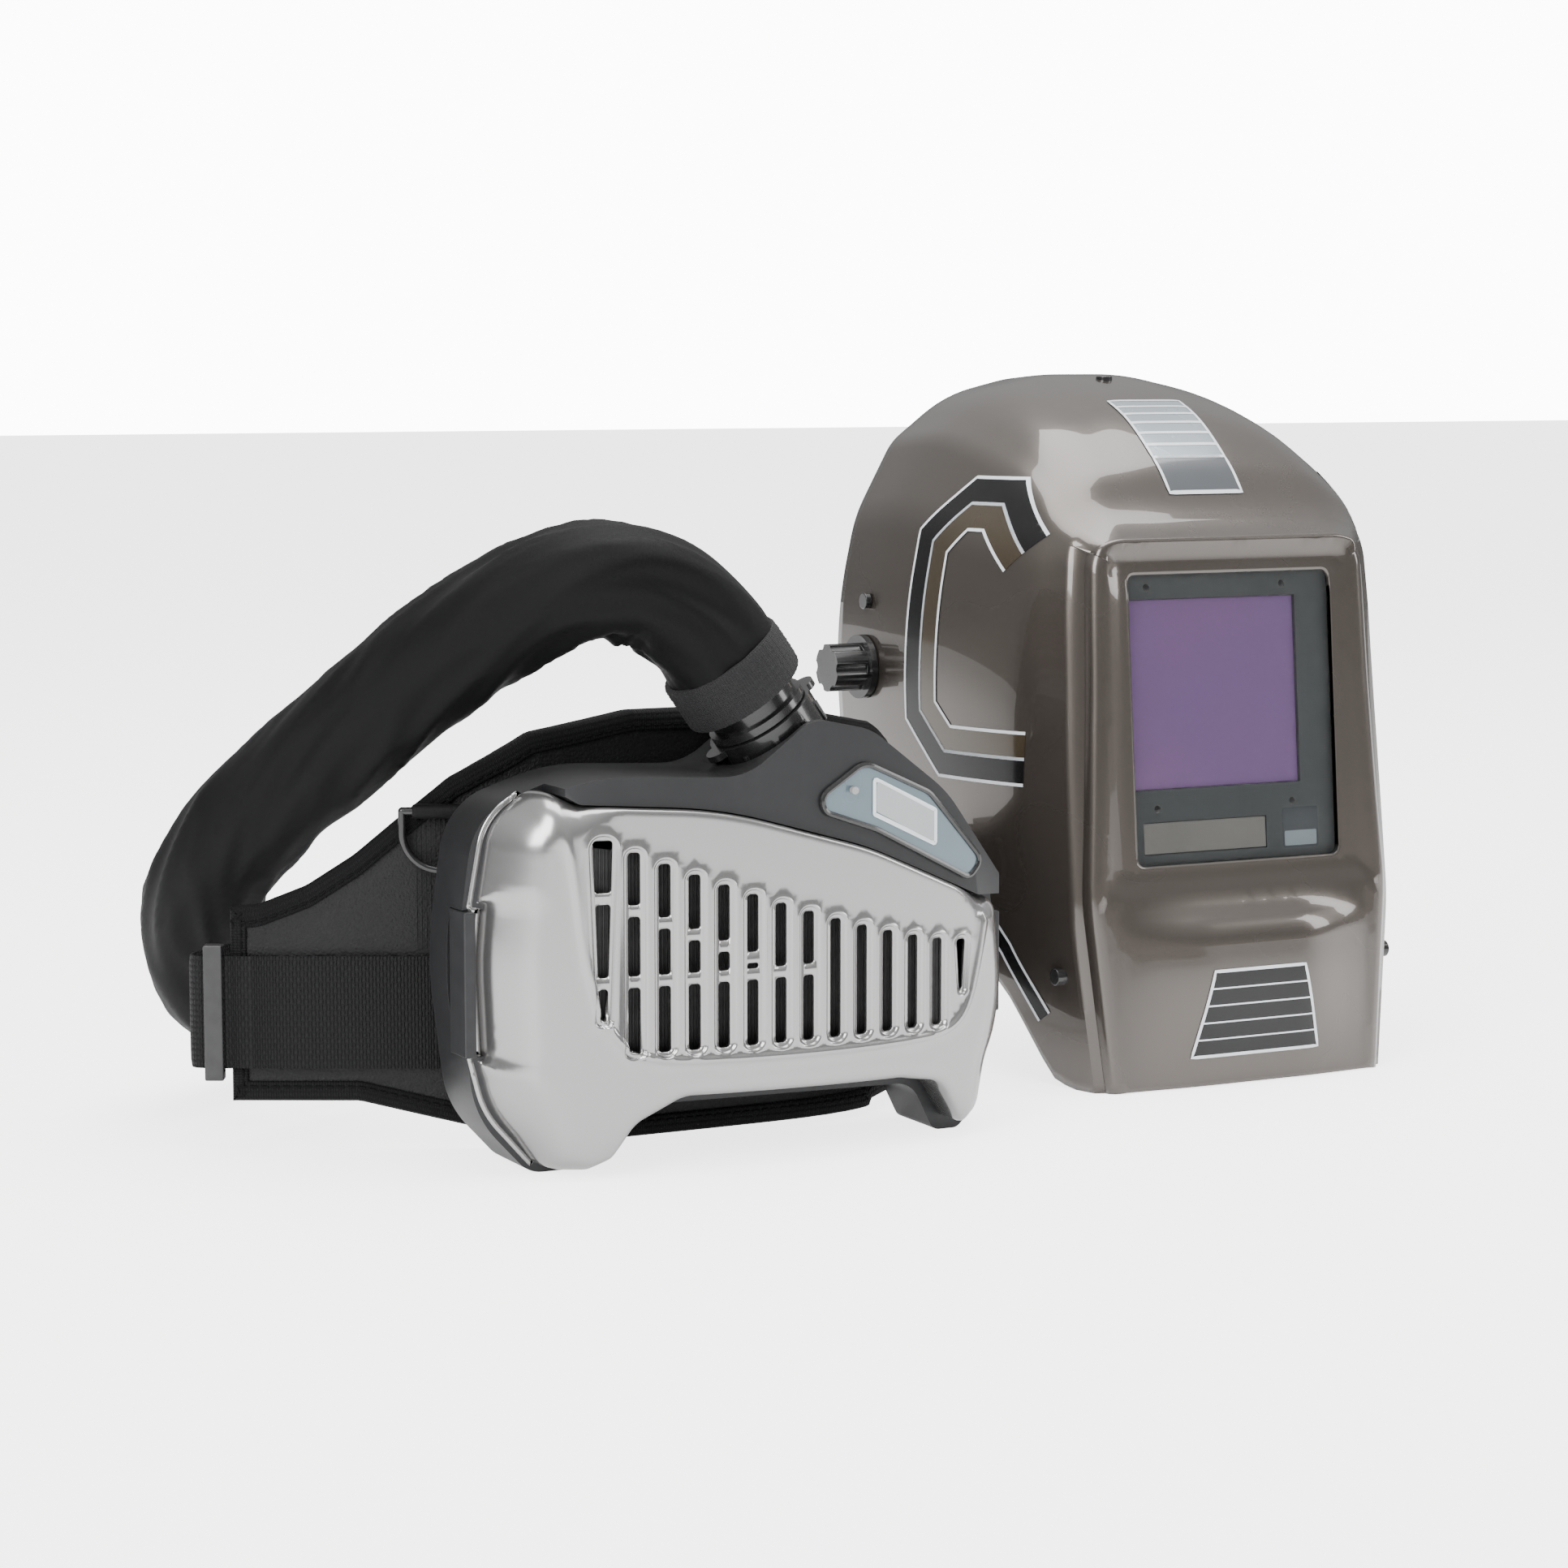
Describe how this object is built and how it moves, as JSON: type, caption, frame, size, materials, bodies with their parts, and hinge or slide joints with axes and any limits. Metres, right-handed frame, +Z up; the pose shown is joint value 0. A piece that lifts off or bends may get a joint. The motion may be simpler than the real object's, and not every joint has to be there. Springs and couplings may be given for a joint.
{
  "type": "powered air respirator",
  "caption": "Belt-worn blower unit with padded belt, sleeved breathing hose and flip-up welding helmet with auto-darkening filter and headgear.",
  "frame": {"origin": "middle of the footprint of blower, belt and helmet, on the surface they stand on", "axes": "+Z up; -Y is the way the blower front and the helmet window face; +X from the blower towards the helmet"},
  "size_m": [0.628, 0.4234, 0.327],
  "materials": {
    "silver_paint": "silver metallic lacquer, glossy",
    "charcoal_plastic": "fine-textured satin",
    "black_gloss_plastic": "moulded, semi-gloss",
    "panel_film": "printed blue-grey film, satin",
    "display": "clear window over a liquid crystal display",
    "indicator": "unlit indicator",
    "screw_steel": "zinc plated",
    "steel_mesh": "woven mesh",
    "filter_media": "pleated filter paper",
    "seal_rubber": "matt",
    "fan_plastic": "moulded",
    "motor_steel": "drawn can",
    "circuit": "solder mask",
    "battery_case": "fine-textured",
    "hose_rubber": "corrugated",
    "sleeve_fabric": "matt coated cloth, wrinkled",
    "knit_band": "ribbed elastic",
    "pad_leatherette": "pebbled",
    "woven_tape": "woven binding",
    "webbing": "ribbed nylon webbing",
    "buckle_plastic": "moulded",
    "ring_black": "black coated wire",
    "helmet_paint": "warm grey metallic lacquer with line graphics",
    "clear_lens": "clear polycarbonate",
    "filter_frame": "dark grey",
    "filter_glass": "violet interference coating",
    "solar_cell": "solar cell strip",
    "headgear_plastic": "moulded nylon",
    "sweatband": "soft cloth over foam",
    "seal_cloth": "fire-retardant cloth"
  },
  "bodies": {
    "carrier": {"rear_housing": "charcoal_plastic", "control_panel": "panel_film", "display_window": "display", "warning_led": "indicator", "outlet_seal": "seal_rubber", "motor_body": "motor_steel", "motor_bearings": "motor_steel", "fan_volute": "fan_plastic", "circuit_board": "circuit", "housing_screws": "screw_steel", "belt_bracket": "charcoal_plastic", "hose_cuffs": "black_gloss_plastic", "air_hose": "hose_rubber", "hose_sleeve": "sleeve_fabric", "sleeve_bands": "knit_band", "belt_pad": "pad_leatherette", "belt_binding": "woven_tape", "belt_webbing": "webbing", "d_ring_loops": "webbing", "strap_sliders": "buckle_plastic", "buckle_male": "buckle_plastic", "buckle_female": "buckle_plastic", "headband_front": "headgear_plastic", "crown_straps": "headgear_plastic", "brow_pad": "sweatband", "pivot_brackets": "headgear_plastic", "pivot_bolts": "headgear_plastic", "air_duct": "headgear_plastic"},
    "filter_cover": {"front_cover": "silver_paint", "spark_arrestor": "steel_mesh", "prefilter": "filter_media", "main_filter": "filter_media", "filter_gasket": "seal_rubber"},
    "left_latch": {"cover_latch_left": "charcoal_plastic"},
    "right_latch": {"cover_latch_right": "charcoal_plastic"},
    "power_button": {"power_button": "seal_rubber"},
    "fan_rotor": {"fan_impeller": "fan_plastic", "motor_shaft": "motor_steel"},
    "battery": {"battery_pack": "battery_case"},
    "battery_catch": {"battery_latch": "battery_case"},
    "outlet_collar": {"outlet_collar": "black_gloss_plastic"},
    "inlet_swivel": {"inlet_swivel": "black_gloss_plastic"},
    "ring_left": {"d_ring_left": "ring_black"},
    "ring_right": {"d_ring_right": "ring_black"},
    "visor": {"helmet_shell": "helmet_paint", "shell_studs": "black_gloss_plastic", "lens_holder": "filter_frame", "front_cover_lens": "clear_lens", "adf_cartridge": "filter_frame", "adf_glass": "filter_glass", "solar_panel": "solar_cell", "inner_cover_lens": "clear_lens", "face_seal": "seal_cloth"},
    "shade_dial": {"shade_knob": "black_gloss_plastic"},
    "sensitivity_dial": {"sensitivity_knob": "black_gloss_plastic"},
    "rear_band": {"headband_rear": "headgear_plastic", "ratchet_housing": "headgear_plastic"},
    "ratchet": {"ratchet_knob": "headgear_plastic"},
    "tension_left": {"tension_knob_left": "black_gloss_plastic"},
    "tension_right": {"tension_knob_right": "black_gloss_plastic"}
  },
  "joints": [
    {"name": "filter_cover_pull", "type": "slide", "parent": "carrier", "child": "filter_cover", "axis": [0, -1, 0], "range_m": [0, 0.06]},
    {"name": "left_latch_press", "type": "slide", "parent": "carrier", "child": "left_latch", "axis": [1, 0, 0], "range_m": [0, 0.0015], "stiffness_N_per_m": 700},
    {"name": "right_latch_press", "type": "slide", "parent": "carrier", "child": "right_latch", "axis": [-1, 0, 0], "range_m": [0, 0.0015], "stiffness_N_per_m": 700},
    {"name": "power_button_press", "type": "slide", "parent": "carrier", "child": "power_button", "axis": [-1, 0, 0], "range_m": [0, 0.0012], "stiffness_N_per_m": 600},
    {"name": "fan_spin", "type": "hinge", "parent": "carrier", "child": "fan_rotor", "pos_m": [-0.1497, -0.146, 0.102], "axis": [0, 1, 0], "continuous": true},
    {"name": "battery_slide", "type": "slide", "parent": "carrier", "child": "battery", "axis": [0, 0, -1], "range_m": [0, 0.07]},
    {"name": "battery_catch_press", "type": "slide", "parent": "battery", "child": "battery_catch", "axis": [0, 0, 1], "range_m": [0, 0.0015], "stiffness_N_per_m": 400},
    {"name": "outlet_collar_turn", "type": "hinge", "parent": "carrier", "child": "outlet_collar", "pos_m": [-0.0847, -0.163, 0.17], "axis": [-0.5592, 0, 0.829], "range_deg": [0, 40]},
    {"name": "inlet_swivel_turn", "type": "hinge", "parent": "carrier", "child": "inlet_swivel", "pos_m": [0.1753, 0.172, 0.19], "axis": [0, -0.4472, 0.8944], "continuous": true},
    {"name": "ring_left_swing", "type": "hinge", "parent": "carrier", "child": "ring_left", "pos_m": [-0.2199, -0.1126, 0.147], "axis": [-0.894, 0.448, 0], "range_deg": [0, 15]},
    {"name": "ring_right_swing", "type": "hinge", "parent": "carrier", "child": "ring_right", "pos_m": [0.0329, -0.038, 0.104], "axis": [0, -1, 0], "range_deg": [0, 80]},
    {"name": "visor_lift", "type": "hinge", "parent": "carrier", "child": "visor", "pos_m": [0.1753, 0.028, 0.187], "axis": [-1, 0, 0], "range_deg": [0, 48]},
    {"name": "shade_dial_turn", "type": "hinge", "parent": "visor", "child": "shade_dial", "pos_m": [0.1413, -0.10786, 0.11373], "axis": [0, 0.9962, -0.0872], "range_deg": [0, 270]},
    {"name": "sensitivity_dial_turn", "type": "hinge", "parent": "visor", "child": "sensitivity_dial", "pos_m": [0.1673, -0.10794, 0.11273], "axis": [0, 0.9962, -0.0872], "range_deg": [0, 270]},
    {"name": "ratchet_turn", "type": "hinge", "parent": "rear_band", "child": "ratchet", "pos_m": [0.1753, 0.133, 0.213], "axis": [0, 1, 0], "range_deg": [0, 360]},
    {"name": "rear_band_tighten", "type": "slide", "parent": "carrier", "child": "rear_band", "axis": [0, -1, 0], "range_m": [0, 0.012]},
    {"name": "tension_left_turn", "type": "hinge", "parent": "carrier", "child": "tension_left", "pos_m": [0.1753, 0.028, 0.187], "axis": [-1, 0, 0], "range_deg": [0, 360]},
    {"name": "tension_right_turn", "type": "hinge", "parent": "carrier", "child": "tension_right", "pos_m": [0.1753, 0.028, 0.187], "axis": [1, 0, 0], "range_deg": [0, 360]}
  ],
  "couplings": [
    {"joint": "rear_band_tighten", "follows": "ratchet_turn", "m_per_rad": 0.0017}
  ]
}
